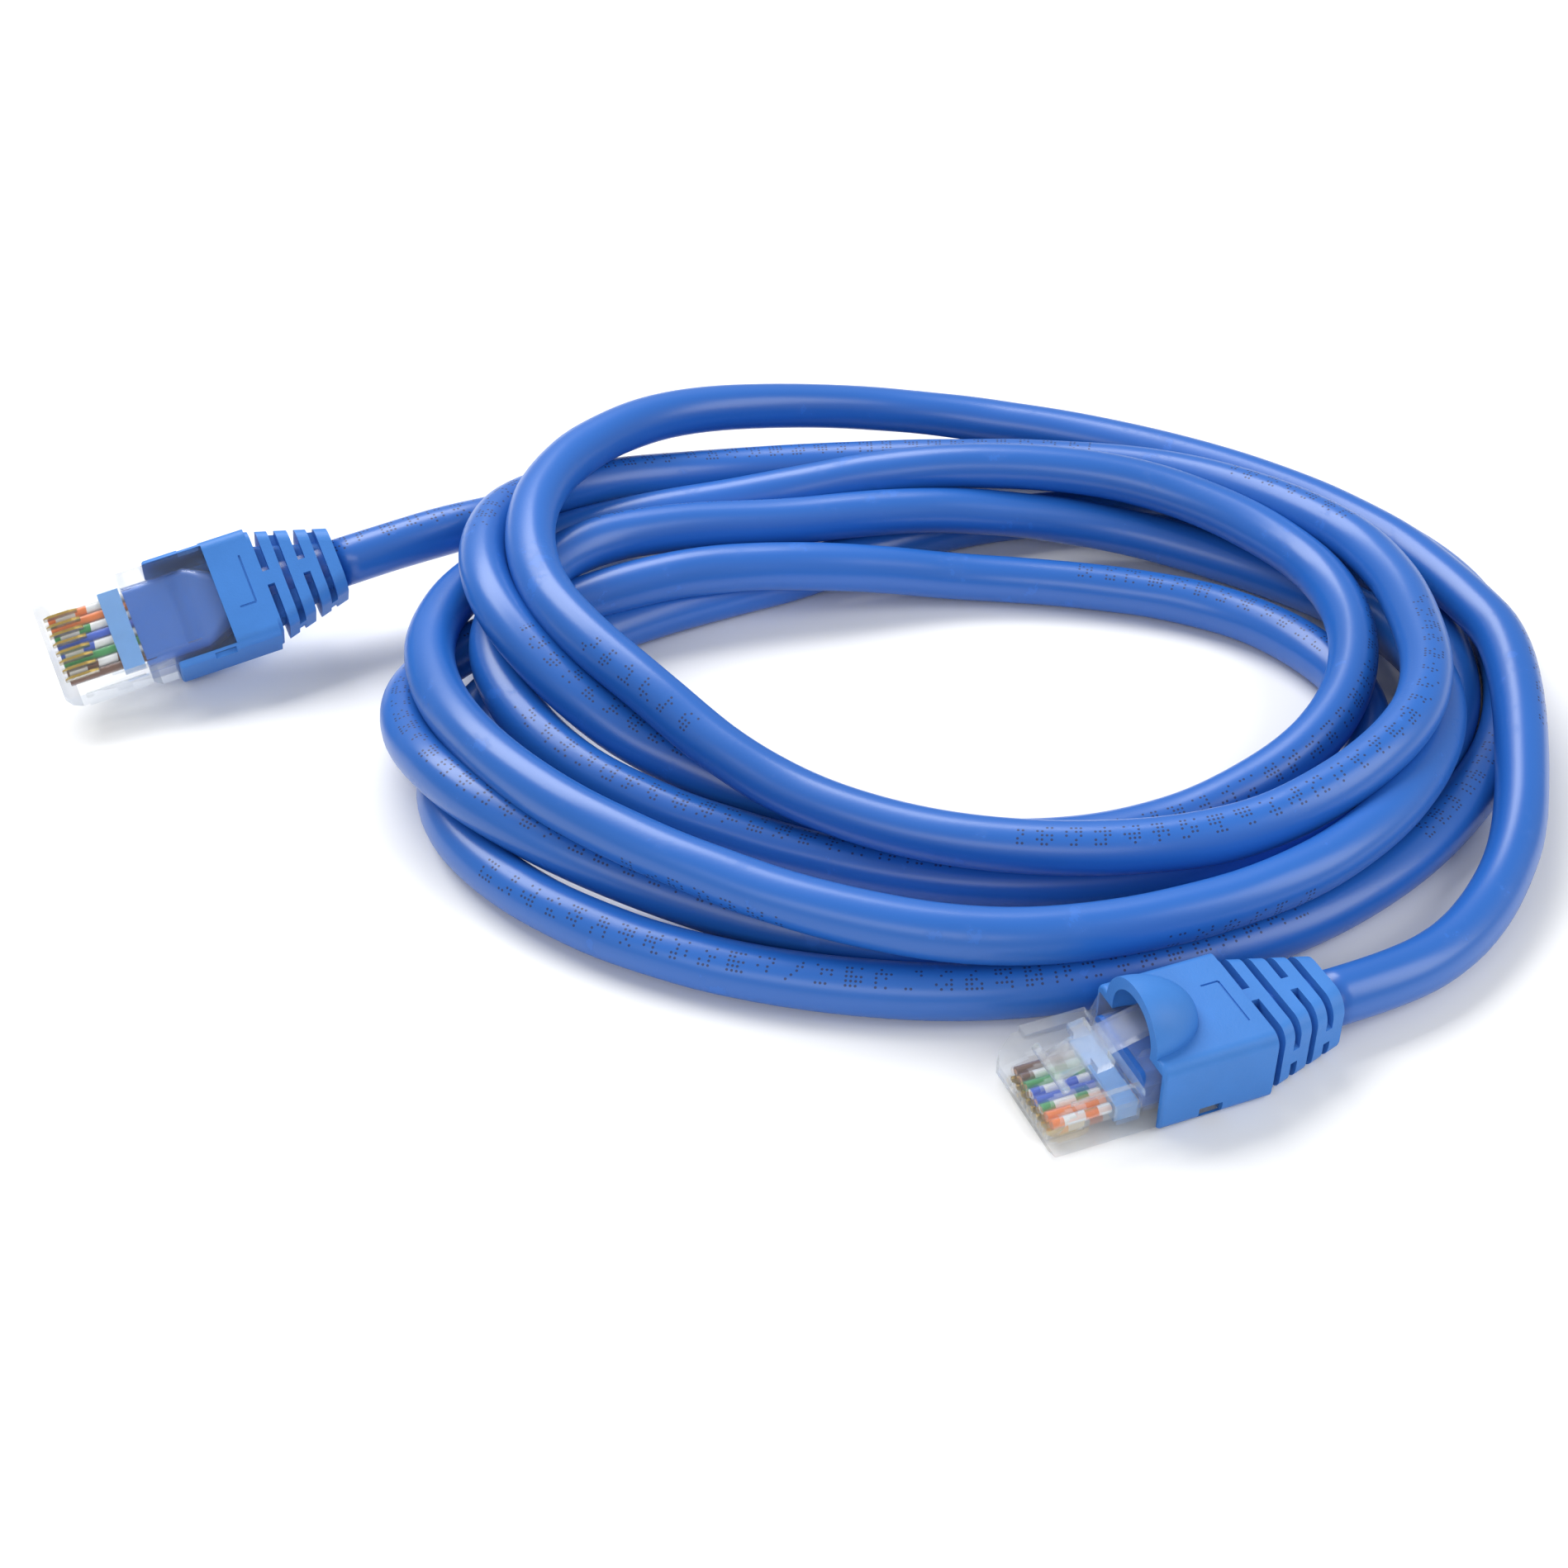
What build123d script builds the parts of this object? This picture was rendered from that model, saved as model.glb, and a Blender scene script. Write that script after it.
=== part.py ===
"""Ethernet patch cable: two clear eight-way plugs with blue boots, joined by a loosely coiled cable.

The frame stands on the surface that the cable lies on: +Z is up, z = 0 is that surface, and x = y = 0
is the middle of the box around the two plugs. Each plug is modelled in a frame of its own, with x from
its nose towards the cable, y across it and z from the contact face towards the latch, and is then set
down on its seat plane. Plug A lies rolled on its latch side, and plug B stands flat.
"""
from build123d import *
from math import cos, pi, radians, sin, tan
import os

# ---------------------------------------------------------------- driving dimensions, millimetres
CABLE_D = 5.4                # jacket outside diameter
WAYS = 8                     # conductors and contacts in one plug
PITCH = 1.02                 # spacing of neighbouring contacts

HOUSING_W = 11.68            # width of the plug body
FACE_Z = 0.4                 # height of the contact face above the boot's underside
NOSE_TOP = 4.8               # top of the low front part
NOSE_SET_BACK = 1.6          # how far the nose face slopes back
NOSE_EDGE = 0.5              # bevel between the nose and the contact face
NOSE_FACE_H = 1.9            # upright part of the nose face
NOSE_CORNER = 0.55           # bevel at each side of the nose
STEP_X = 9.5                 # where the taller rear part starts
STEP_SLOPE = 0.9
REAR_TOP = 6.8               # top of the rear part
HOUSING_L = 21.5             # length of the plug body
CABLE_Z = 3.6                # height of the cable's centre line in the plug
CHANNEL_START, CHANNEL_END = 8.8, 14.8     # channel that the tab goes down into
CHANNEL_Z = 5.95             # its floor
CHANNEL_SIDE_GAP = 0.7
RAIL_START, RAIL_END = 2.3, 9.0            # the two guide rails along the front part
RAIL_W, RAIL_H = 1.3, 0.7
CRIMP_X, CRIMP_L, CRIMP_W = 15.0, 1.6, 8.0     # recess of the crimp that grips the jacket
CRIMP_DEPTH = 0.6
HOUSING_FIT = 0.02           # gap to the boot around it

WIRE_D = 0.98                # insulated conductor
CORE_D = 0.52                # its copper
WIRE_Z = 2.15                # height of the row of conductors
WIRE_START, WIRE_END = 1.1, 10.6
WIRE_FIT = 0.01              # gap around a conductor in the housing

BLADE_T = 0.32               # contact blade
BLADE_START, BLADE_END = 0.7, 4.4
BLADE_TOP = 1.55
BLADE_SUNK = 0.2             # how far the contact edge sits inside its slot
BLADE_NOSE_L, BLADE_NOSE_H = 0.6, 0.75     # its rounded front shoulder
BLADE_HEEL_L, BLADE_HEEL_H = 0.9, 0.55     # its step down at the rear
BLADE_FIT = 0.01

BAR_START, BAR_END = 6.9, 9.2          # load bar that holds the conductors in a row
BAR_W, BAR_H = 9.0, 1.9
BAR_FIT = 0.05

JACKET_START = 9.5           # front end of the jacket, pressed flat in the plug
JACKET_FLAT_W, JACKET_FLAT_H = 9.4, 4.2
JACKET_FLAT_END = 16.5
JACKET_CORNER_R = 1.1
JACKET_ROUND_X = 21.3        # the jacket is round again from here
JACKET_ROUND_R = 0.495       # corner radius there, over the width: all but a circle
MOUTH_W, MOUTH_H = 8.4, 1.04           # opening at the jacket's front for the conductors
CAVITY_GAP = 0.06            # between the jacket and the housing around it

LATCH_HINGE_X = 2.6          # root of the latch, at the front
LATCH_W = 3.25               # tab width
SHOULDER_W = 6.0
SHOULDER_X = 5.6
SHOULDER_L = 1.7
SHOULDER_Z = 0.95            # underside of the shoulders' front, above the latch's root
SHOULDER_H = 0.8
SHOULDER_SLOPE = 0.3         # how much higher their rear is
ARM_Z = 0.85                 # underside of the arm there
LATCH_END_X = 12.6
LATCH_T = 0.85
LATCH_RISE = 3.1             # how much higher the tab's end is than its root
HINGE_GAP = 0.08

BOOT_START = 10.5            # front face of a boot that is pushed right home
BOOT_L = 11.5                # its box-shaped part
BOOT_W, BOOT_TOP = 12.9, 7.8
BOOT_CORNER_R = 1.2
OPENING_L = 6.6              # the contact side is open this far back from the front face
TAIL_W, TAIL_TOP = 12.2, 7.3           # start of the tapering tail
TAIL_CORNER_R = 1.3
COLLAR_X = 20.2              # end of the tail, from the boot's front face
COLLAR_W, COLLAR_H = 7.6, 7.2
COLLAR_CORNER_R = 2.1
HOOD_Z = 7.5                 # centre of the dome over the latch
HOOD_R = 4.7
HOOD_L = 6.3
HOOD_WALL = 1.15
GROOVE_W = 0.8
GROOVE_X = (12.3, 14.3, 16.4, 18.4)    # from the boot's front face
GROOVE_DEPTH = 1.5
BRIDGE_W = 1.6
MARK_W, MARK_DEPTH = 0.22, 0.16        # engraved corner line on the boot's top and underside
MARK_X, MARK_ARM = 10.1, 1.8           # its long line, and its short arm towards the front
MARK_START, MARK_END = -3.4, 2.2       # across the boot
LUG_START, LUG_END, LUG_TOP = 4.0, 6.4, 1.7    # window low in each side of the boot, over a housing lug
EDGE_R = 0.35
ROOM = 20.0                  # size of a cutting block that is larger than the boot

WIRE_NAMES = ("white_orange", "orange", "white_green", "blue", "white_blue", "green", "white_brown", "brown")

# Where the two plugs lie
BOOT_A_BACK = 2.0            # plug A's boot sits this far back on its housing
ORIGIN = (-15.18, -11.42)    # middle of the plugs' box, in the layout's own coordinates
PLUG_A = (-79.22, 11.82, 9.01)
PLUG_A_TURN = (24.0, 6.5, 220.0)       # heading, nose-down pitch, roll, degrees
PLUG_B = (21.4, -48.9, 0.0)
PLUG_B_TURN = (22.0, 0.0, 0.0)

# The coil's outer shape: an oval ring, with a hole in the middle
COIL_CENTRE = (20.5, 14.5)
COIL_HALF = (66.5, 50.5)
HOLE_CENTRE = (20.0, 13.0)
HOLE_HALF = (33.0, 20.0)
COIL_TOP = 18.5
COIL_EDGE = 3.0

# The uncoiled stretches, from each boot to the coil, in the layout's own coordinates
ROUTE_A = [(-50.2, 27.27, 9.97), (-41.2, 31.27, 11.09), (-32.7, 36.9, 10.2), (-26.3, 44.0, 7.2)]
ROUTE_B = [
    (49.87, -37.4, 3.6), (57.6, -34.25, 3.4), (64.9, -28.7, 3.0), (70.8, -20.6, 3.4), (74.9, -11.3, 5.0)]
ARC_SHARE = 0.45             # how much of the shorter run an arc takes at each corner


# ---------------------------------------------------------------- helpers
def seat(place, turn):
    """Plane on which a plug is set down: its heading, then its pitch, then its roll about its length."""
    heading, pitch, roll = (radians(angle) for angle in turn)
    along = Vector(cos(heading) * cos(pitch), sin(heading) * cos(pitch), sin(pitch))
    level = Vector(-sin(heading), cos(heading), 0)
    raised = along.cross(level)
    upward = raised * cos(roll) - level * sin(roll)
    return Plane(Vector(*place) - Vector(*ORIGIN, 0), x_dir=along, z_dir=upward)


def save(piece, name, plane=Plane.XY):
    """Sets a finished piece down on its plane and writes it."""
    part = piece.part.moved(plane.location)
    part.label = name
    export_step(part, f"parts/{name}.step")


def station(x):
    """Plane across the plug at x: its x runs across the plug and its y upwards."""
    return Plane(origin=(x, 0, 0), x_dir=(0, 1, 0), z_dir=(1, 0, 0))


def lane(number):
    """Distance across the plug of one contact or conductor, 0 to 7."""
    return (number - (WAYS - 1) / 2) * PITCH


def jacket_shape(grow, end_x):
    """Jacket in and behind the plug, flat at its front end and round further back, grown by a gap."""
    with BuildPart() as shape:
        with BuildSketch(station(JACKET_START - grow)):
            with Locations((0, CABLE_Z)):
                RectangleRounded(JACKET_FLAT_W + 2 * grow, JACKET_FLAT_H + 2 * grow, JACKET_CORNER_R)
        extrude(amount=JACKET_FLAT_END - JACKET_START + grow)
        with BuildSketch(station(JACKET_FLAT_END)):
            with Locations((0, CABLE_Z)):
                RectangleRounded(JACKET_FLAT_W + 2 * grow, JACKET_FLAT_H + 2 * grow, JACKET_CORNER_R)
        with BuildSketch(station(JACKET_ROUND_X)):
            with Locations((0, CABLE_Z)):
                RectangleRounded(CABLE_D + 2 * grow, CABLE_D + 2 * grow, CABLE_D * JACKET_ROUND_R)
        loft()
        with BuildSketch(station(JACKET_ROUND_X)):
            with Locations((0, CABLE_Z)):
                Circle(CABLE_D / 2 + grow)
        extrude(amount=end_x - JACKET_ROUND_X)
    return shape.part


# ---------------------------------------------------------------- pieces of one plug
def make_housing():
    """Clear body: low nose with a sloping face, taller rear part, cavity, contact slots and rails."""
    room = jacket_shape(CAVITY_GAP, HOUSING_L + CAVITY_GAP)
    with BuildPart() as housing:
        with BuildSketch(Plane.XZ):
            with BuildLine():
                Polyline(
                    (0, FACE_Z + NOSE_EDGE), (NOSE_EDGE, FACE_Z), (HOUSING_L, FACE_Z), (HOUSING_L, REAR_TOP),
                    (STEP_X + STEP_SLOPE, REAR_TOP), (STEP_X, NOSE_TOP), (NOSE_SET_BACK, NOSE_TOP),
                    (0, FACE_Z + NOSE_FACE_H), close=True)
            make_face()
        extrude(amount=HOUSING_W / 2, both=True)
        nose_edges = housing.edges().filter_by(Axis.Z).sort_by(Axis.X)[0:2]
        chamfer(nose_edges, NOSE_CORNER)
        for side in (-1, 1):
            with Locations((RAIL_START, side * (HOUSING_W - RAIL_W) / 2, NOSE_TOP)):
                Box(RAIL_END - RAIL_START, RAIL_W, RAIL_H, align=(Align.MIN, Align.CENTER, Align.MIN))
        add(room, mode=Mode.SUBTRACT)
        # pocket for the load bar and the row of conductors
        with BuildSketch(station(JACKET_START)):
            with Locations((0, WIRE_Z)):
                Rectangle(BAR_W + 2 * BAR_FIT, BAR_H + 2 * BAR_FIT)
        extrude(amount=-(JACKET_START - BAR_START), mode=Mode.SUBTRACT)
        with BuildSketch(station(BAR_START)):
            for number in range(WAYS):
                with Locations((lane(number), WIRE_Z)):
                    Circle(WIRE_D / 2 + WIRE_FIT)
        extrude(amount=-(BAR_START - WIRE_START), mode=Mode.SUBTRACT)
        # slots for the contacts, open at the contact face
        for number in range(WAYS):
            with Locations((BLADE_START, lane(number), 0)):
                Box(BLADE_END - BLADE_START, BLADE_T + 2 * BLADE_FIT, BLADE_TOP,
                    align=(Align.MIN, Align.CENTER, Align.MIN), mode=Mode.SUBTRACT)
        # channel that the tab goes down into, and the crimp's recess in the contact face
        with Locations((CHANNEL_START, 0, CHANNEL_Z)):
            Box(CHANNEL_END - CHANNEL_START, LATCH_W + 2 * CHANNEL_SIDE_GAP, ROOM,
                align=(Align.MIN, Align.CENTER, Align.MIN), mode=Mode.SUBTRACT)
        with Locations((CRIMP_X, 0, 0)):
            Box(CRIMP_L, CRIMP_W, FACE_Z + CRIMP_DEPTH,
                align=(Align.CENTER, Align.CENTER, Align.MIN), mode=Mode.SUBTRACT)
    return housing


def make_latch():
    """Clear lever: a round root at the front, an arm that rises to two shoulders, and a narrow tab."""
    root_z = NOSE_TOP + HINGE_GAP + LATCH_T / 2
    end_z = root_z + LATCH_RISE
    under_z = root_z + SHOULDER_Z
    rear_x = SHOULDER_X + SHOULDER_L
    front_top = (SHOULDER_X, under_z + SHOULDER_H)
    rear_top = (rear_x, under_z + SHOULDER_H + SHOULDER_SLOPE)
    with BuildPart() as latch:
        with BuildSketch(Plane.XZ):
            with BuildLine():
                Polyline(
                    (LATCH_HINGE_X, root_z - LATCH_T / 2), (SHOULDER_X, root_z + ARM_Z),
                    (LATCH_END_X, end_z - LATCH_T / 2), (LATCH_END_X, end_z + LATCH_T / 2),
                    rear_top, front_top, (LATCH_HINGE_X, root_z + LATCH_T / 2), close=True)
            make_face()
            with Locations((LATCH_HINGE_X, root_z)):
                Circle(LATCH_T / 2)
        extrude(amount=LATCH_W / 2, both=True)
        with BuildSketch(Plane.XZ):
            with BuildLine():
                Polyline(
                    (SHOULDER_X, under_z), (rear_x, under_z + SHOULDER_SLOPE),
                    rear_top, front_top, close=True)
            make_face()
        extrude(amount=SHOULDER_W / 2, both=True)
        with BuildSketch(Plane.XZ):
            with Locations((LATCH_HINGE_X, root_z)):
                Circle(LATCH_T / 2)
        extrude(amount=SHOULDER_W / 2, both=True)
    return latch


def make_contacts():
    """Eight gilt blades, one in each slot: a rounded front shoulder and a step down at the rear."""
    with BuildPart() as contacts:
        for number in range(WAYS):
            with BuildSketch(Plane.XZ.offset(-lane(number))):
                with BuildLine():
                    Polyline(
                        (BLADE_START, BLADE_TOP), (BLADE_START, FACE_Z + BLADE_NOSE_H),
                        (BLADE_START + BLADE_NOSE_L, FACE_Z + BLADE_SUNK),
                        (BLADE_END - BLADE_HEEL_L, FACE_Z + BLADE_SUNK), (BLADE_END, FACE_Z + BLADE_HEEL_H),
                        (BLADE_END, BLADE_TOP), close=True)
                make_face()
            extrude(amount=BLADE_T / 2, both=True)
    return contacts


def make_load_bar():
    """Small comb that holds the eight conductors in a row."""
    with BuildPart() as load_bar:
        with BuildSketch(station(BAR_START)):
            with Locations((0, WIRE_Z)):
                Rectangle(BAR_W, BAR_H)
            for number in range(WAYS):
                with Locations((lane(number), WIRE_Z)):
                    Circle(WIRE_D / 2, mode=Mode.SUBTRACT)
        extrude(amount=BAR_END - BAR_START)
    return load_bar


def make_wire(number):
    """Insulation of one conductor, with a bore for its copper."""
    with BuildPart() as wire:
        with BuildSketch(station(WIRE_START)):
            with Locations((lane(number), WIRE_Z)):
                Circle(WIRE_D / 2)
                Circle(CORE_D / 2, mode=Mode.SUBTRACT)
        extrude(amount=WIRE_END - WIRE_START)
    return wire


def make_cores():
    """Copper of the eight conductors."""
    with BuildPart() as cores:
        with BuildSketch(station(WIRE_START)):
            for number in range(WAYS):
                with Locations((lane(number), WIRE_Z)):
                    Circle(CORE_D / 2)
        extrude(amount=WIRE_END - WIRE_START)
    return cores


def make_jacket(boot_shift):
    """End of the cable's jacket: flat in the plug, round by the boot's tail, with a mouth for the wires."""
    shape = jacket_shape(0, BOOT_START + COLLAR_X + boot_shift)
    with BuildPart() as jacket:
        add(shape)
        with Locations((JACKET_START, 0, WIRE_Z)):
            Box(2 * (WIRE_END - JACKET_START), MOUTH_W, MOUTH_H, mode=Mode.SUBTRACT)
    return jacket


def tail_profile(inset):
    """Cross-sections at the two ends of the boot's tail, drawn smaller by an inset, and lofted."""
    with BuildPart() as tail:
        with BuildSketch(station(BOOT_START + BOOT_L)):
            with Locations((0, TAIL_TOP / 2)):
                RectangleRounded(TAIL_W - 2 * inset, TAIL_TOP - 2 * inset, TAIL_CORNER_R - inset / 2)
        with BuildSketch(station(BOOT_START + COLLAR_X)):
            with Locations((0, CABLE_Z)):
                RectangleRounded(COLLAR_W - 2 * inset, COLLAR_H - 2 * inset, COLLAR_CORNER_R - inset / 2)
        loft()
    return tail.part


def make_grooves():
    """The four flexing grooves around the tail: bridged by turns on its flat faces and on its sides."""
    core = tail_profile(GROOVE_DEPTH)
    with BuildPart() as grooves:
        for x in GROOVE_X:
            with Locations((BOOT_START + x, 0, CABLE_Z)):
                Box(GROOVE_W, ROOM, ROOM)
        for row, x in enumerate(GROOVE_X):
            bridge = (BRIDGE_W, BRIDGE_W, ROOM) if row % 2 == 0 else (BRIDGE_W, ROOM, BRIDGE_W)
            with Locations((BOOT_START + x, 0, CABLE_Z)):
                Box(*bridge, mode=Mode.SUBTRACT)
        add(core, mode=Mode.SUBTRACT)
    return grooves.part


def make_boot(boot_shift):
    """Strain relief boot: box over the housing, open below, with a dome over the latch and a tail."""
    tail = tail_profile(0)
    grooves = make_grooves()
    with BuildPart() as boot:
        with BuildSketch(station(BOOT_START)):
            with Locations((0, BOOT_TOP / 2)):
                RectangleRounded(BOOT_W, BOOT_TOP, BOOT_CORNER_R)
        extrude(amount=BOOT_L)
        fillet(boot.faces().sort_by(Axis.X)[0].edges(), EDGE_R)
        add(tail)
        # dome over the latch, a surface turned about a line along the boot's top
        with BuildSketch(Plane.XZ):
            with BuildLine():
                Line((BOOT_START, HOOD_Z), (BOOT_START, HOOD_Z + HOOD_R))
                EllipticalCenterArc((BOOT_START, HOOD_Z), HOOD_L, HOOD_R, arc_size=90)
                Line((BOOT_START + HOOD_L, HOOD_Z), (BOOT_START, HOOD_Z))
            make_face()
        revolve(axis=Axis((BOOT_START, 0, HOOD_Z), (1, 0, 0)), revolution_arc=360)
        add(grooves, mode=Mode.SUBTRACT)
        # the latch's room under the dome
        with BuildSketch(Plane.XZ):
            with BuildLine():
                inner_r = HOOD_R - HOOD_WALL
                inner_l = HOOD_L - HOOD_WALL
                Line((BOOT_START, HOOD_Z), (BOOT_START, HOOD_Z + inner_r))
                EllipticalCenterArc((BOOT_START, HOOD_Z), inner_l, inner_r, arc_size=90)
                Line((BOOT_START + inner_l, HOOD_Z), (BOOT_START, HOOD_Z))
            make_face()
        revolve(axis=Axis((BOOT_START, 0, HOOD_Z), (1, 0, 0)), revolution_arc=360, mode=Mode.SUBTRACT)
        # seat of the housing, open on the contact side near the front
        with BuildSketch(station(BOOT_START)):
            with Locations((0, (FACE_Z + REAR_TOP) / 2)):
                Rectangle(HOUSING_W + 2 * HOUSING_FIT, REAR_TOP - FACE_Z + 2 * HOUSING_FIT)
        extrude(amount=HOUSING_L - BOOT_START - boot_shift + HOUSING_FIT, mode=Mode.SUBTRACT)
        with Locations((BOOT_START, 0, 0)):
            Box(OPENING_L, HOUSING_W + 2 * HOUSING_FIT, 2 * FACE_Z,
                align=(Align.MIN, Align.CENTER, Align.CENTER), mode=Mode.SUBTRACT)
        # engraved corner line, above and below
        for mark_z in (MARK_DEPTH / 2, BOOT_TOP - MARK_DEPTH / 2):
            with Locations((BOOT_START + MARK_X, MARK_START, mark_z)):
                Box(MARK_W, MARK_END - MARK_START, MARK_DEPTH,
                    align=(Align.CENTER, Align.MIN, Align.CENTER), mode=Mode.SUBTRACT)
            with Locations((BOOT_START + MARK_X, MARK_END, mark_z)):
                Box(MARK_ARM, MARK_W, MARK_DEPTH,
                    align=(Align.MAX, Align.CENTER, Align.CENTER), mode=Mode.SUBTRACT)
        # windows low in the sides, where the housing's lugs snap in
        with Locations((BOOT_START + LUG_START, 0, FACE_Z)):
            Box(LUG_END - LUG_START, ROOM, LUG_TOP - FACE_Z,
                align=(Align.MIN, Align.CENTER, Align.MIN), mode=Mode.SUBTRACT)
        # bore for the cable
        with BuildSketch(station(BOOT_START)):
            with Locations((0, CABLE_Z)):
                Circle(CABLE_D / 2)
        extrude(amount=COLLAR_X, mode=Mode.SUBTRACT)
    return boot


def make_plug(letter, plane, boot_shift):
    """Every piece of one plug, set down on its plane."""
    save(make_housing(), f"housing_{letter}", plane)
    save(make_latch(), f"latch_{letter}", plane)
    save(make_contacts(), f"contacts_{letter}", plane)
    save(make_load_bar(), f"load_bar_{letter}", plane)
    for number, colour in enumerate(WIRE_NAMES):
        save(make_wire(number), f"wire_{colour}_{letter}", plane)
    save(make_cores(), f"wire_cores_{letter}", plane)
    save(make_jacket(boot_shift), f"jacket_end_{letter}", plane)
    pushed_back = Plane(plane.origin + plane.x_dir * boot_shift, x_dir=plane.x_dir, z_dir=plane.z_dir)
    save(make_boot(boot_shift), f"boot_{letter}", pushed_back)


# ---------------------------------------------------------------- the cable
def make_coil():
    """Outer shape of the loose coil: an oval ring with rounded edges."""
    with BuildPart() as coil:
        with BuildSketch():
            with Locations((COIL_CENTRE[0] - ORIGIN[0], COIL_CENTRE[1] - ORIGIN[1])):
                Ellipse(*COIL_HALF)
            with Locations((HOLE_CENTRE[0] - ORIGIN[0], HOLE_CENTRE[1] - ORIGIN[1])):
                Ellipse(*HOLE_HALF, mode=Mode.SUBTRACT)
        extrude(amount=COIL_TOP)
        chamfer(coil.edges().group_by(Axis.Z)[-1], COIL_EDGE)
    return coil


def turn_radii(points):
    """Radius of each corner's arc: a share of its shorter run, over the tangent of half its turn."""
    radii = []
    for before, corner, after in zip(points, points[1:], points[2:]):
        first, second = corner - before, after - corner
        turn = radians(first.get_angle(second))
        radii.append(ARC_SHARE * min(first.length, second.length) / tan(turn / 2))
    return radii


def make_lead(route, coil):
    """Tube of one uncoiled stretch: straight runs joined by tangent arcs, up to the coil's side."""
    points = [Vector(*point) - Vector(*ORIGIN, 0) for point in route]
    radii = turn_radii(points)
    print("lead radii", [round(radius, 1) for radius in radii])
    with BuildPart() as lead:
        with BuildLine() as path:
            FilletPolyline(*points, radius=radii)
        with BuildSketch(Plane(points[0], z_dir=points[1] - points[0])):
            Circle(CABLE_D / 2)
        sweep()
        whole = lead.part.volume
        add(coil.part, mode=Mode.SUBTRACT)
    length = sum(edge.length for edge in path.edges())
    print("lead volume", round(whole), "of", round(length * pi * CABLE_D**2 / 4))
    return lead


# ---------------------------------------------------------------- build
os.makedirs("parts", exist_ok=True)
SEAT_A = seat(PLUG_A, PLUG_A_TURN)
SEAT_B = seat(PLUG_B, PLUG_B_TURN)
make_plug("a", SEAT_A, BOOT_A_BACK)
make_plug("b", SEAT_B, 0)
cable_coil = make_coil()
save(cable_coil, "cable_coil")
save(make_lead(ROUTE_A, cable_coil), "cable_lead_a")
save(make_lead(ROUTE_B, cable_coil), "cable_lead_b")
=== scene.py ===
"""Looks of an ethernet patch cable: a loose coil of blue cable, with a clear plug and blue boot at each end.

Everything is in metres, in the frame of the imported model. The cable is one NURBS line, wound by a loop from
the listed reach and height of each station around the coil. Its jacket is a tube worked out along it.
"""
from math import cos, pi, radians, sin, tau

import bpy
import numpy as np
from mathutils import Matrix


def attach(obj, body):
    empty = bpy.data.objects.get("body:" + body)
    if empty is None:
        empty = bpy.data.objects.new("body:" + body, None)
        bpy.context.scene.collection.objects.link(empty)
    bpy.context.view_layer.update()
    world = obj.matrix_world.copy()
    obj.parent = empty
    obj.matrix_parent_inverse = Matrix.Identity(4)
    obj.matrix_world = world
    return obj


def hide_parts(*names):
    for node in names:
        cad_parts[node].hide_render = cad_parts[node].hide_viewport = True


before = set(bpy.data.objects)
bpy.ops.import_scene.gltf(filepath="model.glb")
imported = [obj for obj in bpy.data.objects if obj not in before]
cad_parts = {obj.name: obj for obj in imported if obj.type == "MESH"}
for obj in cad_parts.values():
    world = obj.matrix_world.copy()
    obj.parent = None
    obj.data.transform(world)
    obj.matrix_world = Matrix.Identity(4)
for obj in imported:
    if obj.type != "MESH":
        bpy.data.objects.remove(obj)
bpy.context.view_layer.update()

bl_info = {
    "name": "Patch cable",
    "version": (1, 0, 0),
    "blender": (4, 5, 0),
    "location": "View3D > Sidebar > Cable",
    "description": "Jacket, boots, plugs and stage of a coiled patch cable",
    "category": "Object",
}

MM = 0.001
PLUGS = ("a", "b")
LAYOUT = (-15.18, -11.42)              # the frame's origin in the layout's own coordinates, millimetres

# ---------------------------------------------------------------- the cable's route, metres in the layout
FLOOR = 0.0027                         # centre line of a turn that lies on the surface
LEAD_A = [
    (-0.0502, 0.02727, 0.00997), (-0.0412, 0.03127, 0.01109), (-0.0327, 0.0369, 0.0102),
    (-0.0263, 0.0440, 0.0072), (-0.0170, 0.0520, 0.0042), (-0.0055, 0.0578, 0.0028), (0.0070, 0.0609, 0.0027),
]
LEAD_B = [
    (0.0749, -0.0113, 0.0050), (0.0708, -0.0206, 0.0034), (0.0649, -0.0287, 0.0030),
    (0.0576, -0.03425, 0.0034), (0.04987, -0.0374, 0.0036),
]
COIL_MIDDLE = (0.019, 0.0135)
COIL_OVAL = 0.75                       # depth of the oval over its width
STATION_STEP = 30                      # degrees between stations
F = 2.7
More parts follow.
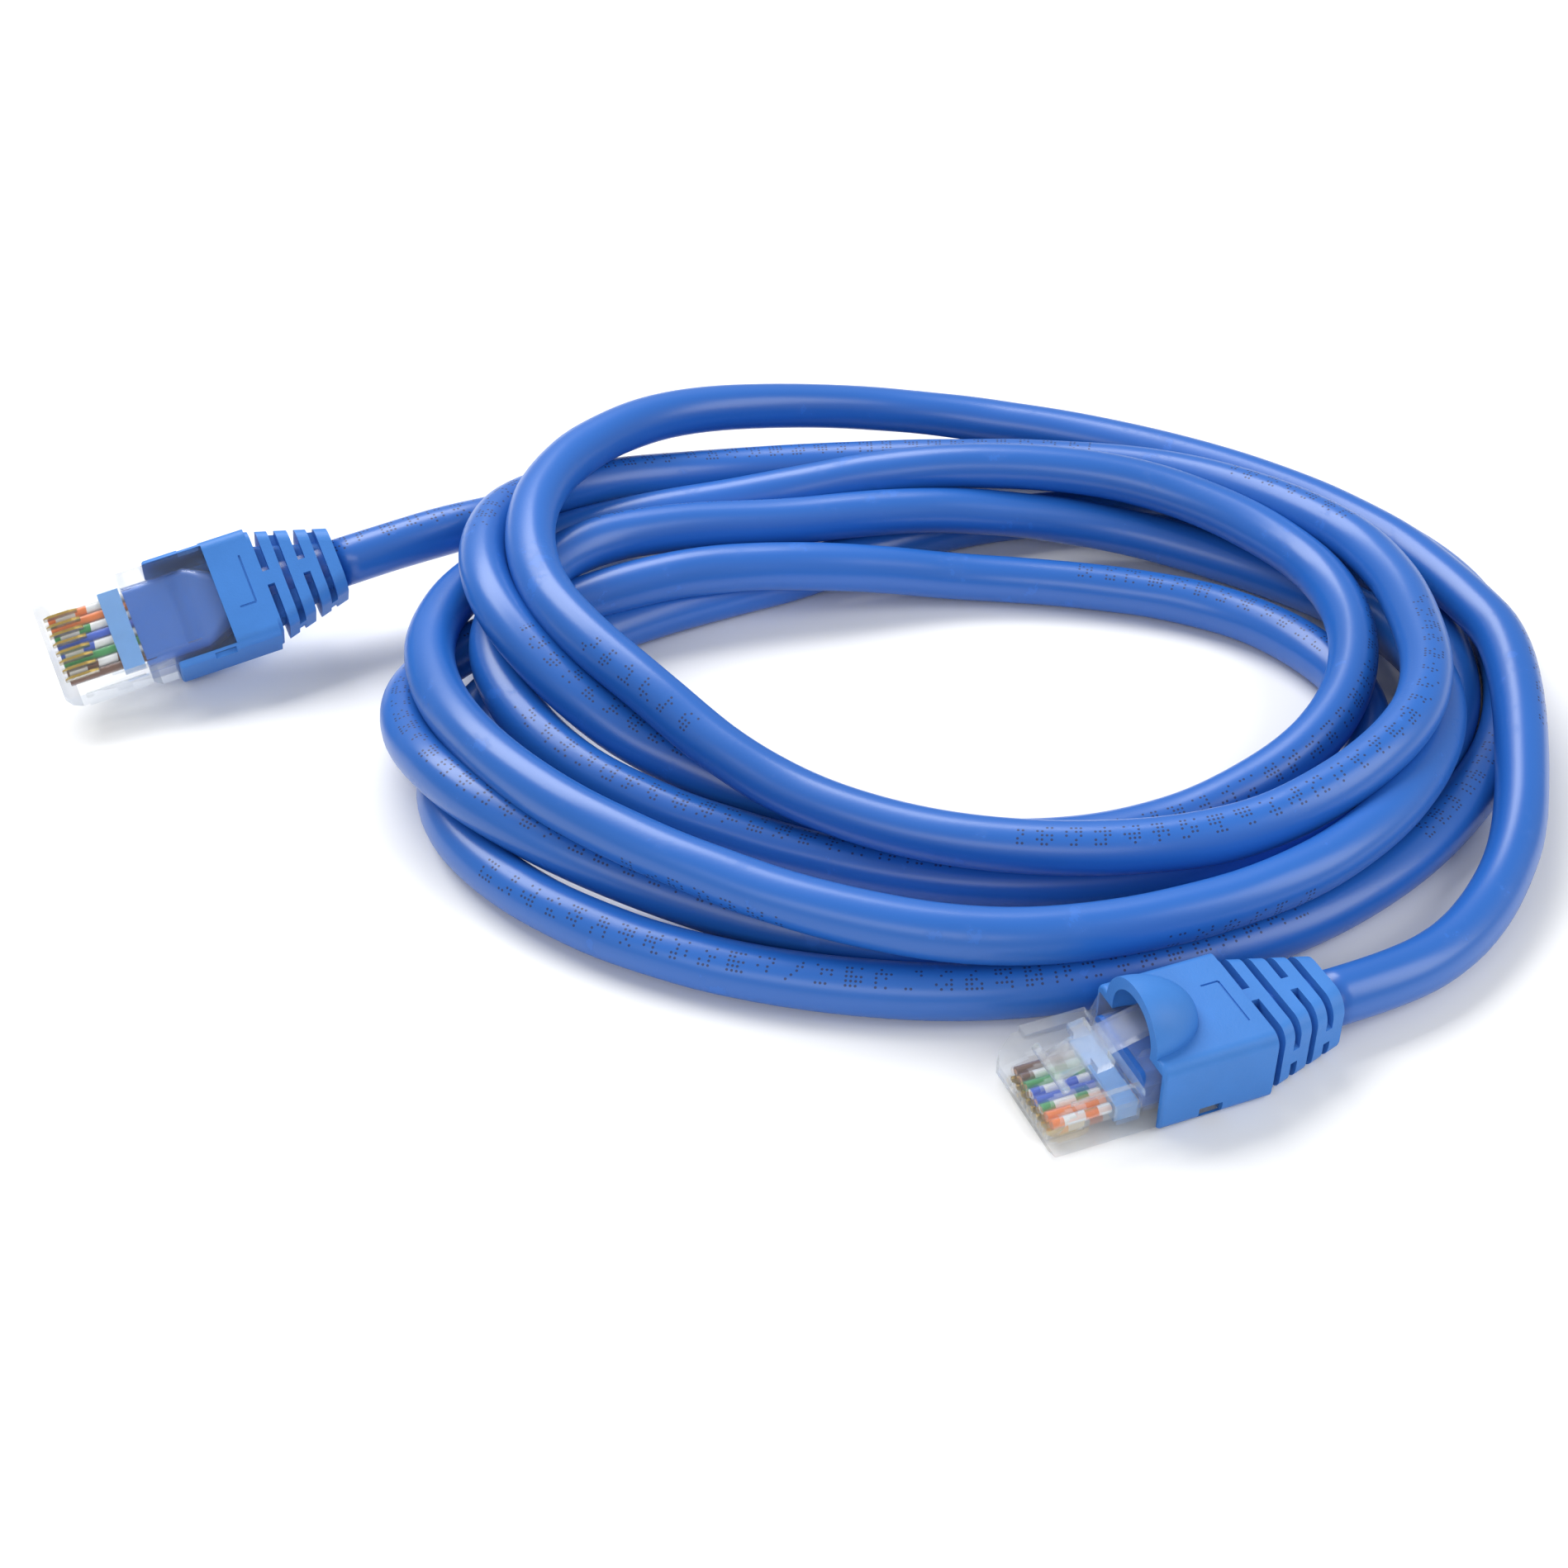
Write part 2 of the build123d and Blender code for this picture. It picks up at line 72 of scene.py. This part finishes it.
# Reach from the coil's middle and height above the surface at each station, in millimetres. Each row is one
# turn, clockwise from the back: back, three stations to the right end, three to the front, three to the left
# end and two more on the way round to the back again.
TURNS = [
    [(64.5, F), (69, F), (66.5, F), (60.8, F), (58, F), (61, F),
     (65.5, F), (65.5, F), (62.5, F), (51, F), (39, F), (34.5, F)],
    [(44, F), (57, F), (59.5, F), (55, F), (52.3, F), (54.6, F),
     (58, F), (57, 4.0), (62, 8.2), (59, 4.6), (40, 7.2), (29.5, 6.2)],
    [(28.5, 3.4), (31.5, F), (38.5, F), (43.8, F), (46.3, F), (46.5, F),
     (44, F), (42, 3.0), (47.5, 5.8), (51, 9.2), (47.5, 10.6), (38.5, 8.4)],
    [(38, 8.1), (45, 4.4), (49.5, 2.9), (51, 6.2), (54, 8.0), (60, 8.1),
     (63.5, 8.1), (58.5, 9.8), (57.5, 11.0), (57.5, 9.9), (55, 8.4), (46.0, 8.6)],
    [(43.5, 11.6), (47, 10.6), (46.5, 8.4), (43, 8.1), (41, 6.2), (38, 3.0),
     (36, F), (33, F), (41, 8.0), (50.5, 14.8), (57.5, 13.6), (56.5, 8.2)],
    [(52.5, 8.1), (54, 9.2), (52, 10.6), (49, 11.6), (51.5, 12.4), (51.5, 9.4),
     (44.5, 8.1), (38.5, 8.4), (38, 13.0), (45, 16.2), (53, 17.2), (63, 14.4)],
    [(67.5, 8.4), (61, 8.1), (59, 8.1), (60.3, 8.1)],
]


# ---------------------------------------------------------------- turn of each plug about the vertical
HEADING = {"a": radians(24), "b": radians(22)}

# ---------------------------------------------------------------- unevenness of the jacket, metres
LAY = 0.075                            # length in which the pairs beneath turn once, metres
RIPPLE_SHARE, RIPPLE_LENGTH, RIPPLE_FADE = 0.5, 0.031, 0.19
WAVE_SHARE, WAVE_LENGTH, WAVE_FADE = 0.6, 0.0127, 0.11
CREASE_SHARE, CREASE_LENGTH = 0.016, 0.0038
CREASE_BEND, CREASE_START = 33.0, 0.75     # curvature that creases fully, 1/m, and the share where it starts

# ---------------------------------------------------------------- ink marks, millimetres
DOT_PITCH = 0.46
DOT_SIZE = 0.085                       # square of a dot's radius over the pitch
DOT_ROWS = 5
GROUP_COLUMNS, GROUP_INKED = 6.0, 4.0  # columns from one group to the next, and how many of them have dots
RUN_LENGTH = 17.0                      # stretch that is either marked or bare
BARE_DOTS, BARE_RUNS = 0.42, 0.35      # share of the dots and of the stretches that are left out
OFF_MARKS = 0.9                        # UV of the end caps, in metres, well past the marks

# ---------------------------------------------------------------- colours that no panel changes
INK = (0.012, 0.02, 0.075, 1.0)
# painted edge reflection: the blue-grey that clear plastic turns to at grazing angles
PAINTED_RIM_REFLECTION = (0.36, 0.48, 0.68, 1.0)
COPPER = (0.78, 0.36, 0.18, 1.0)
WHITE = (0.82, 0.82, 0.8, 1)
PAPER_DARK, PAPER_LIGHT = (0.9, 0.9, 0.9, 1), (0.93, 0.93, 0.925, 1)
PAIR_COLOURS = {
    "orange": (0.85, 0.2, 0.02, 1), "green": (0.03, 0.33, 0.07, 1),
    "blue": (0.02, 0.1, 0.6, 1), "brown": (0.16, 0.06, 0.025, 1)}

# ---------------------------------------------------------------- stage, metres
FLOOR_HALF = 1.6
LAMPS = (                              # name, place, size, share of the key light's power
    ("key", (-0.16, 0.26, 0.42), (0.5, 0.26), 1.0),
    ("side", (0.42, -0.1, 0.3), (0.24, 0.36), 0.34),
    ("front", (-0.12, -0.46, 0.34), (0.5, 0.2), 0.3),
)


# ---------------------------------------------------------------- shader maths written as expressions
class Value:
    """A socket that is used like a number: every operator adds its Math node."""

    def __init__(self, shader, socket):
        self.shader = shader
        self.socket = socket

    def math(self, operation, *others):
        return self.shader.node("ShaderNodeMath", {"operation": operation}, self, *others)

    def __add__(self, other):
        return self.math("ADD", other)

    def __sub__(self, other):
        return self.math("SUBTRACT", other)

    def __mul__(self, other):
        return self.math("MULTIPLY", other)

    def __truediv__(self, other):
        return self.math("DIVIDE", other)

    def __mod__(self, other):
        return self.math("FLOORED_MODULO", other)

    def __gt__(self, other):
        return self.math("GREATER_THAN", other)

    def __lt__(self, other):
        return self.math("LESS_THAN", other)

    def __rsub__(self, other):
        return self.shader.node("ShaderNodeMath", {"operation": "SUBTRACT"}, other, self)

    __radd__ = __add__
    __rmul__ = __mul__

    def __abs__(self):
        return self.math("ABSOLUTE")

    def floor(self):
        return self.math("FLOOR")


class Shader:
    """One material: its nodes are added by name and settings, and its maths is written with Value."""

    def __init__(self, name, **constants):
        self.material = bpy.data.materials.new(name)
        self.material.use_nodes = True
        self.tree = self.material.node_tree
        self.surface = self.tree.nodes["Principled BSDF"]
        for socket, value in constants.items():
            self.surface.inputs[socket.replace("_", " ")].default_value = value

    def node(self, kind, settings=None, *values, out=0, **named):
        """Adds a node: its settings first, then its sockets in order, then those given by name."""
        node = self.tree.nodes.new(kind)
        for setting, value in (settings or {}).items():
            setattr(node, setting, value)
        for socket, value in list(enumerate(values)) + list(named.items()):
            key = socket.replace("_", " ") if isinstance(socket, str) else socket
            self.feed(node.inputs[key], value)
        return Value(self, node.outputs[out])

    def feed(self, socket, value):
        if isinstance(value, Value):
            self.tree.links.new(value.socket, socket)
        else:
            socket.default_value = value

    def blend(self, factor, first, second):
        """Colour between two colours."""
        mix = self.tree.nodes.new("ShaderNodeMix")
        mix.data_type = "RGBA"
        for index, value in ((0, factor), (6, first), (7, second)):
            self.feed(mix.inputs[index], value)
        return Value(self, mix.outputs[2])

    def place(self, turn=(0, 0, 0)):
        """Object coordinates, turned."""
        coordinates = self.node("ShaderNodeTexCoord", out="Object")
        return self.node("ShaderNodeMapping", None, coordinates, Rotation=turn)

    def noise(self, vector, scale, detail=3.0, roughness=0.5):
        return self.node("ShaderNodeTexNoise", None, Vector=vector, Scale=scale, Detail=detail,
                         Roughness=roughness)

    def bump(self, height, distance, strength):
        return self.node("ShaderNodeBump", None, Strength=strength, Distance=distance, Height=height)

    def set(self, **links):
        for socket, value in links.items():
            self.feed(self.surface.inputs[socket.replace("_", " ")], value)
        return self.material


def shade(colour, factor):
    """A colour made darker or lighter, with its alpha kept."""
    return tuple(min(1.0, part * factor) for part in colour[:3]) + (1.0,)


# ---------------------------------------------------------------- finishes
def jacket_finish(settings, printed):
    """Satin blue vinyl: slow changes of tone, a fine drawn grain, scuffs, and dotted ink marks if printed."""
    name = "jacket_printed" if printed else "jacket_plain"
    shader = Shader(name, Specular_IOR_Level=0.5, Coat_Roughness=0.24)
    solid = shader.place()
    tone = shader.noise(solid, 26.0, 2.0)
    grain = shader.noise(solid, 2600.0, 2.0)
    scuff = shader.noise(solid, 240.0, 5.0, 0.65)
    blue = tuple(settings.jacket_colour) + (1.0,)
    colour = shader.blend(tone, shade(blue, 0.78), shade(blue, 1.2))
    colour = shader.blend((scuff > 0.66) * 0.18, colour, shade(blue, 1.7))
    roughness = 0.3 + tone * 0.12 + (scuff > 0.62) * 0.1
    if printed:
        ink = ink_marks(shader)
        colour = shader.blend(ink * 0.86, colour, INK)
        roughness = roughness + ink * 0.2
    height = grain * 0.35 + scuff * 0.65
    return shader.set(Base_Color=colour, Roughness=roughness, Coat_Weight=0.42 - tone * 0.25,
                      Normal=shader.bump(height, 0.00003, 0.6))


def ink_marks(shader):
    """Rows of tiny ink dots in short groups, with no letters: U runs along the jacket and V around it."""
    uv = shader.node("ShaderNodeTexCoord", out="UV")
    split = shader.node("ShaderNodeSeparateXYZ", None, uv)
    along = split * 1000.0
    around = Value(shader, split.socket.node.outputs[1]) * 1000.0
    dot_x = abs((along / DOT_PITCH) % 1.0 - 0.5)
    dot_y = abs((around / DOT_PITCH) % 1.0 - 0.5)
    dot = (dot_x * dot_x + dot_y * dot_y) < DOT_SIZE
    row = (around / DOT_PITCH).floor()
    column = (along / DOT_PITCH).floor()
    cell = shader.node("ShaderNodeCombineXYZ", None, column, row, 3.0)
    chance = shader.node("ShaderNodeTexWhiteNoise", {"noise_dimensions": "3D"}, Vector=cell)
    in_rows = (around > 0.0) * (around < DOT_ROWS * DOT_PITCH)
    in_group = ((along / DOT_PITCH) % GROUP_COLUMNS) < GROUP_INKED
    stretch = (along / RUN_LENGTH).floor()
    run = shader.node("ShaderNodeTexWhiteNoise", {"noise_dimensions": "1D"}, W=stretch)
    return dot * (chance > BARE_DOTS) * in_rows * in_group * (run > BARE_RUNS)


def boot_finish(settings):
    """Soft moulded vinyl: even mid blue with a fine spark-eroded grain and slightly paler, rubbed patches."""
    shader = Shader("boot_vinyl", Specular_IOR_Level=0.4)
    solid = shader.place()
    grain = shader.noise(solid, 3800.0, 2.0, 0.6)
    patch = shader.noise(solid, 130.0, 4.0, 0.6)
    blue = tuple(settings.boot_colour) + (1.0,)
    colour = shader.blend(patch, shade(blue, 0.86), shade(blue, 1.14))
    return shader.set(Base_Color=colour, Roughness=0.42 + patch * 0.16,
                      Normal=shader.bump(grain + patch * 0.8, 0.00004, 0.5))


def clear_finish(name, settings, roughness, body):
    """Moulded polycarbonate: clear and slightly cool, with faint flow marks in its gloss.

    A face seen square on is mostly transparent, by its alpha, so that what is inside stays bright. Towards
    grazing angles it turns more solid and bluer, a painted edge reflection in place of light off the edge.
    """
    shader = Shader(name, IOR=1.25, Transmission_Weight=0.8, Specular_IOR_Level=0.8)
    solid = shader.place()
    flow = shader.noise(solid, 320.0, 3.0)
    # painted edge reflection: this facing weight turns the colour blue-grey and the alpha more solid at
    # grazing angles
    painted_rim = shader.node("ShaderNodeLayerWeight", None, Blend=0.3, out=1)
    tint = tuple(settings.clear_colour) + (1.0,)
    colour = shader.blend(painted_rim, tint, PAINTED_RIM_REFLECTION)
    return shader.set(Base_Color=colour, Roughness=roughness + flow * 0.04,
                      Alpha=body + flow * 0.08 + painted_rim * 0.7, Normal=shader.bump(flow, 0.00003, 0.35))


def metal_finish(name, colour, roughness):
    """Plated or bare metal with faint drawing lines and duller spots."""
    shader = Shader(name)
    solid = shader.place()
    wear = shader.noise(solid, 900.0, 4.0, 0.6)
    tone = shader.blend(wear, shade(colour, 0.82), shade(colour, 1.08))
    return shader.set(Base_Color=tone, Metallic=1.0 - (wear > 0.7) * 0.15, Roughness=roughness + wear * 0.15,
                      Normal=shader.bump(wear, 0.00001, 0.4))


def insulation_finish(name, colour, stripe, angle):
    """Extruded conductor insulation, with rings of a second colour along a white wire."""
    shader = Shader(name, Specular_IOR_Level=0.5)
    lengthwise = shader.place(turn=(0, 0, -angle))
    tone = shader.noise(lengthwise, 700.0, 3.0)
    shown = shader.blend(tone, shade(colour, 0.9), shade(colour, 1.08))
    if stripe:
        bands = shader.node("ShaderNodeTexWave", {"wave_type": "BANDS", "bands_direction": "X"},
                            Vector=lengthwise, Scale=95.0, Distortion=1.2, Detail=1.0)
        shown = shader.blend(bands > 0.68, shown, stripe)
    return shader.set(Base_Color=shown, Roughness=0.34 + tone * 0.1, Normal=shader.bump(tone, 0.00002, 0.3))


def dress(node, material):
    """Gives a carried-over CAD node its finish."""
    obj = bpy.data.objects[node]
    obj.data.materials.clear()
    obj.data.materials.append(material)


# ---------------------------------------------------------------- the cable's line and jacket
def coil_points():
    """Stations of every turn, with a point between each two: P(t) = middle + reach (cos t, oval sin t).

    The point between b and c, beside a and d, is (9 (b + c) - (a + d)) / 16.
    """
    stations = np.array([station for turn in TURNS for station in turn])
    angle = np.radians(90 - STATION_STEP * np.arange(len(stations)))
    reach = stations[:, 0] * MM
    points = np.stack([
        COIL_MIDDLE[0] + reach * np.cos(angle),
        COIL_MIDDLE[1] + COIL_OVAL * reach * np.sin(angle),
        stations[:, 1] * MM], axis=1)
    padded = np.vstack([2 * points[0] - points[1], points, 2 * points[-1] - points[-2]])
    before, first, second, after = padded[:-3], padded[1:-2], padded[2:-1], padded[3:]
    between = (9 * (first + second) - (before + after)) / 16
    woven = np.empty((len(points) + len(between), 3))
    woven[0::2] = points
    woven[1::2] = between
    return woven


def route_line(name, points):
    """The cable's centre line: one open NURBS spline through its two ends."""
    data = bpy.data.curves.new(name, "CURVE")
    data.dimensions = "3D"
    data.resolution_u = 8
    spline = data.splines.new("NURBS")
    spline.points.add(len(points) - 1)
    spline.points.foreach_set("co", np.hstack([points, np.ones((len(points), 1))]).ravel())
    spline.order_u = 3
    spline.use_endpoint_u = True
    return bpy.data.objects.new(name, data)


def line_points(line):
    """Points along a curve object with no bevel, in order."""
    traced = bpy.data.meshes.new_from_object(line)
    points = np.empty(len(traced.vertices) * 3)
    traced.vertices.foreach_get("co", points)
    bpy.data.meshes.remove(traced)
    return points.reshape(-1, 3)


def frame_along(path):
    """Length so far, side, up and change of tangent at each point of a path.

    side is level and square to the path, and up is square to both.
    """
    step = np.linalg.norm(np.diff(path, axis=0), axis=1)
    length = np.concatenate([[0], np.cumsum(step)])
    tangent = np.gradient(path, length, axis=0)
    tangent /= np.linalg.norm(tangent, axis=1)[:, None]
    side = np.cross((0, 0, 1), tangent)
    side /= np.linalg.norm(side, axis=1)[:, None]
    up = np.cross(tangent, side)
    return length, side, up, np.gradient(tangent, length, axis=0)


def jacket_radius(s, f, inward, radius, lumps):
    """Radius at length s and angle f: R = r (1 + lumps (twist + waves) + creases).

    twist = sin(2 f - 2 pi s / lay) plus a slower ripple, for the four pairs beneath. waves fade in and out
    along the cable. inward is the curvature towards the inside of a bend, and creases come where it is high.
    """
    twist = np.sin(2 * f - tau * s / LAY) + RIPPLE_SHARE * np.sin(
        tau * s / RIPPLE_LENGTH + 1.3 + f) * np.sin(tau * s / RIPPLE_FADE)
    waves = WAVE_SHARE * np.sin(tau * s / WAVE_LENGTH + 2 * f) * np.sin(tau * s / WAVE_FADE + 0.7) ** 3
    crease = np.clip(inward / CREASE_BEND - CREASE_START, 0, 1) * np.sin(tau * s / CREASE_LENGTH)
    return radius * (1 + lumps * (twist + waves) + CREASE_SHARE * crease)


def tube_faces(count, sides):
    """Quads between each two rings, and a fan of triangles round a hub at each end."""
    row = np.arange(count - 1)[:, None] * sides
    col = np.arange(sides)[None, :]
    nxt = (col + 1) % sides
    quads = np.stack([row + col, row + nxt, row + sides + nxt, row + sides + col], axis=-1).reshape(-1, 4)
    last = (count - 1) * sides
    hub_a, hub_b = count * sides, count * sides + 1
    around = np.arange(sides)
    cap_a = np.stack([np.full(sides, hub_a), (around + 1) % sides, around], axis=1)
    cap_b = np.stack([np.full(sides, hub_b), last + around, last + (around + 1) % sides], axis=1)
    return quads.tolist() + cap_a.tolist() + cap_b.tolist()


def marks_uv(length, f, radius):
    """UV of every face corner: U is the length along the cable, V the distance around from the marks' line.

    The line wanders round the jacket, at the angle 0.5 + 0.85 sin(9 s + 1) + 0.45 sin(4.1 s).
    """
    sides = f.shape[1] - 1
    line = 0.5 + 0.85 * np.sin(9.0 * length + 1.0) + 0.45 * np.sin(4.1 * length)
    angle = ((f - line[:, None] + pi) % tau - pi)[:-1, :-1]
    v_here = angle * radius
    v_next = v_here + tau / sides * radius
    wander = (line[:-1] - line[1:])[:, None] * radius
    u_here = np.broadcast_to(length[:-1, None], angle.shape)
    u_ahead = np.broadcast_to(length[1:, None], angle.shape)
    corners = np.stack([
        np.stack([u_here, v_here], -1), np.stack([u_here, v_next], -1),
        np.stack([u_ahead, v_next + wander], -1), np.stack([u_ahead, v_here + wander], -1)], axis=2)
    return np.concatenate([corners.reshape(-1, 2), np.full((6 * sides, 2), OFF_MARKS)])


def jacket_tube(name, path, radius, sides, lumps):
    """Tube around a path: P(s, f) = C(s) + R(s, f) (cos f side + sin f up), closed at both ends."""
    length, side, up, bend = frame_along(path)
    s = length[:, None]
    f = np.linspace(0, tau, sides + 1)[None, :]
    inward = np.sum(bend * side, axis=1)[:, None] * np.cos(f) + np.sum(bend * up, axis=1)[:, None] * np.sin(f)
    swell = jacket_radius(s, f, inward, radius, lumps)
    ring = (path[:, None, :] + swell[..., None] * (
        np.cos(f)[..., None] * side[:, None, :] + np.sin(f)[..., None] * up[:, None, :]))[:, :-1]
    verts = np.vstack([ring.reshape(-1, 3), path[:1], path[-1:]])
    mesh = bpy.data.meshes.new(name)
    mesh.from_pydata(verts.tolist(), [], tube_faces(len(path), sides))
    layer = mesh.uv_layers.new(name="UVMap")
    layer.data.foreach_set("uv", marks_uv(length, f, radius).ravel())
    mesh.polygons.foreach_set("use_smooth", np.ones(len(mesh.polygons), dtype=bool))
    mesh.update()
    return bpy.data.objects.new(name, mesh)


# ---------------------------------------------------------------- settings
class CableSettings(bpy.types.PropertyGroup):
    """Sizes and colour of the cable."""
    diameter: bpy.props.FloatProperty(
        name="Diameter", description="Outside diameter of the jacket", default=0.0054, unit="LENGTH")
    length: bpy.props.FloatProperty(
        name="Length", description="Length from boot to boot", default=1.925, unit="LENGTH")
    sides: bpy.props.IntProperty(name="Sides", description="Faces around the jacket", default=30)
    lumps: bpy.props.FloatProperty(
        name="Lumps", description="Unevenness of the jacket over its radius", default=0.018, subtype="FACTOR")
    jacket_colour: bpy.props.FloatVectorProperty(
        name="Jacket", description="Colour of the jacket", default=(0.017, 0.13, 0.5), subtype="COLOR")


class PlugSettings(bpy.types.PropertyGroup):
    """Colours of the plugs and boots."""
    boot_colour: bpy.props.FloatVectorProperty(
        name="Boot", description="Colour of the boots", default=(0.045, 0.205, 0.6), subtype="COLOR")
    clear_colour: bpy.props.FloatVectorProperty(
        name="Clear plastic", description="Tint of the clear plastic", default=(0.94, 0.975, 1.0),
        subtype="COLOR")
    bar_colour: bpy.props.FloatVectorProperty(
        name="Load bar", description="Colour of the load bar", default=(0.16, 0.38, 0.75), subtype="COLOR")
    gold_colour: bpy.props.FloatVectorProperty(
        name="Contacts", description="Colour of the gilt contacts", default=(0.92, 0.66, 0.22),
        subtype="COLOR")


class StageSettings(bpy.types.PropertyGroup):
    """Camera, floor and lights."""
    distance: bpy.props.FloatProperty(
        name="Distance", description="Camera's distance from the layout's middle", default=0.26,
        unit="LENGTH")
    elevation: bpy.props.FloatProperty(
        name="Elevation", description="Camera's angle above the surface", default=radians(38.1),
        subtype="ANGLE")
    lens: bpy.props.FloatProperty(name="Lens", description="Focal length on a 36 mm sensor", default=56.33)
    key: bpy.props.FloatProperty(name="Key light", description="Power of the key light", default=2.8)
    fill: bpy.props.FloatProperty(name="Fill", description="Strength of the even light", default=0.38)


# ---------------------------------------------------------------- operators
class PATCH_OT_stage(bpy.types.Operator):
    """Camera, pale floor and soft studio light."""
    bl_idname = "patch.stage"
    bl_label = "Stage"

    def execute(self, context):
        settings = context.scene.patch_stage
        target = np.array([-LAYOUT[0], -LAYOUT[1], 0]) * MM
        tilt = settings.elevation
        camera_data = bpy.data.cameras.new("camera")
        camera_data.lens = settings.lens
        camera_data.clip_start = 0.01
        camera = bpy.data.objects.new("camera", camera_data)
        camera.location = target + settings.distance * np.array([0, -cos(tilt), sin(tilt)])
        camera.rotation_euler = (pi / 2 - tilt, 0, 0)
        context.scene.collection.objects.link(camera)
        context.scene.camera = camera
        floor_mesh = bpy.data.meshes.new("floor")
        floor_mesh.from_pydata(
            [(x * FLOOR_HALF, y * FLOOR_HALF, 0) for x, y in ((-1, -1), (1, -1), (1, 1), (-1, 1))],
            [], [(0, 1, 2, 3)])
        floor = bpy.data.objects.new("floor", floor_mesh)
        context.scene.collection.objects.link(floor)
        paper = Shader("pale_floor", Specular_IOR_Level=0.2)
        tone = paper.noise(paper.place(), 12.0)
        floor_mesh.materials.append(paper.set(
            Base_Color=paper.blend(tone, PAPER_DARK, PAPER_LIGHT), Roughness=0.7 + tone * 0.1))
        for name, place, size, share in LAMPS:
            self.light(context, name, place, size, settings.key * share)
        world = bpy.data.worlds.new("even_light")
        world.use_nodes = True
        background = world.node_tree.nodes["Background"]
        background.inputs["Color"].default_value = (0.96, 0.98, 1.0, 1.0)
        background.inputs["Strength"].default_value = settings.fill
        context.scene.world = world
        context.scene.view_settings.view_transform = "Standard"
        return {"FINISHED"}

    @staticmethod
    def light(context, name, place, size, power):
        """One rectangular lamp that faces the frame's origin."""
        data = bpy.data.lights.new(name, "AREA")
        data.shape = "RECTANGLE"
        data.size, data.size_y = size
        data.energy = power
        lamp = bpy.data.objects.new(name, data)
        lamp.location = place
        lamp.rotation_euler = (-lamp.location).to_track_quat("-Z", "Y").to_euler()
        context.scene.collection.objects.link(lamp)


class PATCH_OT_cable(bpy.types.Operator):
    """The whole cable from boot to boot, coiled."""
    bl_idname = "patch.cable"
    bl_label = "Cable"

    def execute(self, context):
        settings = context.scene.patch_cable
        points = np.vstack([LEAD_A, coil_points(), LEAD_B])
        points[:, :2] -= np.array(LAYOUT) * MM
        line = route_line("cable_line", points)
        path = line_points(line)
        bpy.data.objects.remove(line)
        cable = jacket_tube("cable", path, settings.diameter / 2, settings.sides, settings.lumps)
        context.scene.collection.objects.link(cable)
        cable.data.materials.append(jacket_finish(settings, True))
        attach(cable, "root")
        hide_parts("cable_coil", "cable_lead_a", "cable_lead_b")
        for letter in PLUGS:
            dress(f"jacket_end_{letter}", jacket_finish(settings, False))
        return {"FINISHED"}


class PATCH_OT_boots(bpy.types.Operator):
    """Finish of the two strain relief boots."""
    bl_idname = "patch.boots"
    bl_label = "Boots"

    def execute(self, context):
        finish = boot_finish(context.scene.patch_plugs)
        for letter in PLUGS:
            dress(f"boot_{letter}", finish)
        return {"FINISHED"}


class PATCH_OT_clear(bpy.types.Operator):
    """Finish of the clear housings and the frosted latches."""
    bl_idname = "patch.clear"
    bl_label = "Clear plastic"

    def execute(self, context):
        settings = context.scene.patch_plugs
        clear = clear_finish("clear_plastic", settings, 0.01, 0.13)
        frosted = clear_finish("frosted_plastic", settings, 0.12, 0.3)
        for letter in PLUGS:
            dress(f"housing_{letter}", clear)
            dress(f"latch_{letter}", frosted)
        return {"FINISHED"}


class PATCH_OT_wiring(bpy.types.Operator):
    """Finish of the contacts, load bars, conductors and their copper."""
    bl_idname = "patch.wiring"
    bl_label = "Wiring"

    def execute(self, context):
        settings = context.scene.patch_plugs
        gold = metal_finish("gilt", tuple(settings.gold_colour) + (1.0,), 0.16)
        copper = metal_finish("bare_copper", COPPER, 0.24)
        bar = insulation_finish("bar_plastic", tuple(settings.bar_colour) + (1.0,), None, 0)
        for letter in PLUGS:
            dress(f"contacts_{letter}", gold)
            dress(f"wire_cores_{letter}", copper)
            dress(f"load_bar_{letter}", bar)
            angle = HEADING[letter]
            for name, colour in PAIR_COLOURS.items():
                dress(f"wire_{name}_{letter}", insulation_finish(f"{name}_{letter}", colour, None, angle))
                dress(f"wire_white_{name}_{letter}",
                      insulation_finish(f"white_{name}_{letter}", WHITE, colour, angle))
        return {"FINISHED"}


class PATCH_PT_panel(bpy.types.Panel):
    """Lists the pieces of the cable."""
    bl_label = "Patch cable"
    bl_idname = "PATCH_PT_panel"
    bl_space_type = "VIEW_3D"
    bl_region_type = "UI"
    bl_category = "Cable"

    def draw(self, context):
        for operator in OPERATORS:
            self.layout.operator(operator.bl_idname)
        for group in (context.scene.patch_cable, context.scene.patch_plugs, context.scene.patch_stage):
            for name in group.__annotations__:
                self.layout.prop(group, name)


GROUPS = {"patch_cable": CableSettings, "patch_plugs": PlugSettings, "patch_stage": StageSettings}
OPERATORS = (PATCH_OT_stage, PATCH_OT_cable, PATCH_OT_boots, PATCH_OT_clear, PATCH_OT_wiring)


def register():
    for cls in (*GROUPS.values(), *OPERATORS, PATCH_PT_panel):
        bpy.utils.register_class(cls)
    for name, cls in GROUPS.items():
        setattr(bpy.types.Scene, name, bpy.props.PointerProperty(type=cls))


def unregister():
    for name in GROUPS:
        delattr(bpy.types.Scene, name)
    for cls in reversed((*GROUPS.values(), *OPERATORS, PATCH_PT_panel)):
        bpy.utils.unregister_class(cls)


def main():
    """Makes the stage and every piece."""
    register()
    for operator in OPERATORS:
        group, name = operator.bl_idname.split(".")
        getattr(getattr(bpy.ops, group), name)()


if __name__ == "__main__":
    main()
